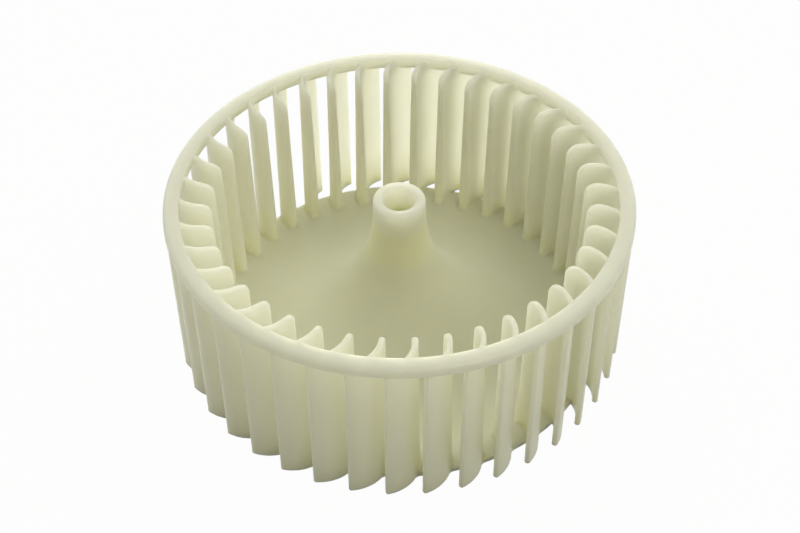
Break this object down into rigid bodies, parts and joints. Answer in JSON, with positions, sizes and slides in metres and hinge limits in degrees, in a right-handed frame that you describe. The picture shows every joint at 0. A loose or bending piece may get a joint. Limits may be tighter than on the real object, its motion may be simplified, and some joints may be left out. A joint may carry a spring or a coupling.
{
  "type": "dryer blower wheel",
  "caption": "One-piece moulded centrifugal blower wheel: ring of forward-curved blades between an inlet rim and a back plate, with a flared centre hub and shaft bore",
  "frame": {"origin": "on the wheel's axis, in the flat plane of its back", "axes": "+Z along the axis from the back plate to the open inlet end; +X through the middle of a gap between two blades"},
  "size_m": [0.18, 0.18, 0.0706],
  "materials": {
    "natural_polypropylene": "natural uncoloured polypropylene, as moulded"
  },
  "bodies": {
    "root": {"blower_wheel": "natural_polypropylene"}
  },
  "joints": []
}
